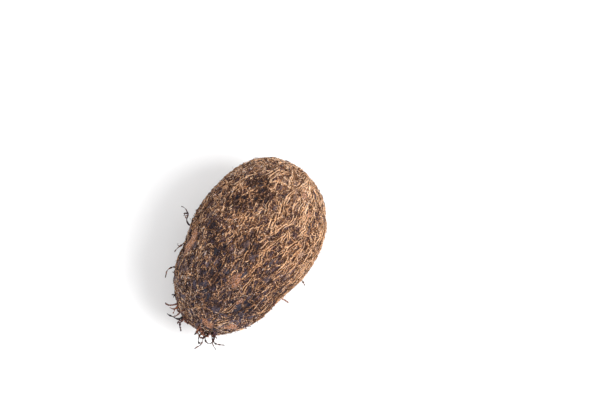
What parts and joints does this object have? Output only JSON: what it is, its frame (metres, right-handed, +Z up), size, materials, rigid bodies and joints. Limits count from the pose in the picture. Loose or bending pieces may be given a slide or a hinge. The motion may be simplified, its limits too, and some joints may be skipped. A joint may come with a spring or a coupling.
{
  "type": "taro root",
  "caption": "Whole taro corm lying on its side: an egg-shaped root vegetable with a ringed crown, a broken heel scar and a worn flat to rest on.",
  "frame": {"origin": "on the surface that the corm rests on, under the middle of its bounding box", "axes": "+Z up; +X along the corm, from the crown end, where the leaves stood, to the heel end, where it grew on the mother corm"},
  "size_m": [0.09, 0.0584, 0.0565],
  "materials": {
    "skin": "matte"
  },
  "bodies": {
    "root": {"corm": "skin"}
  },
  "joints": []
}
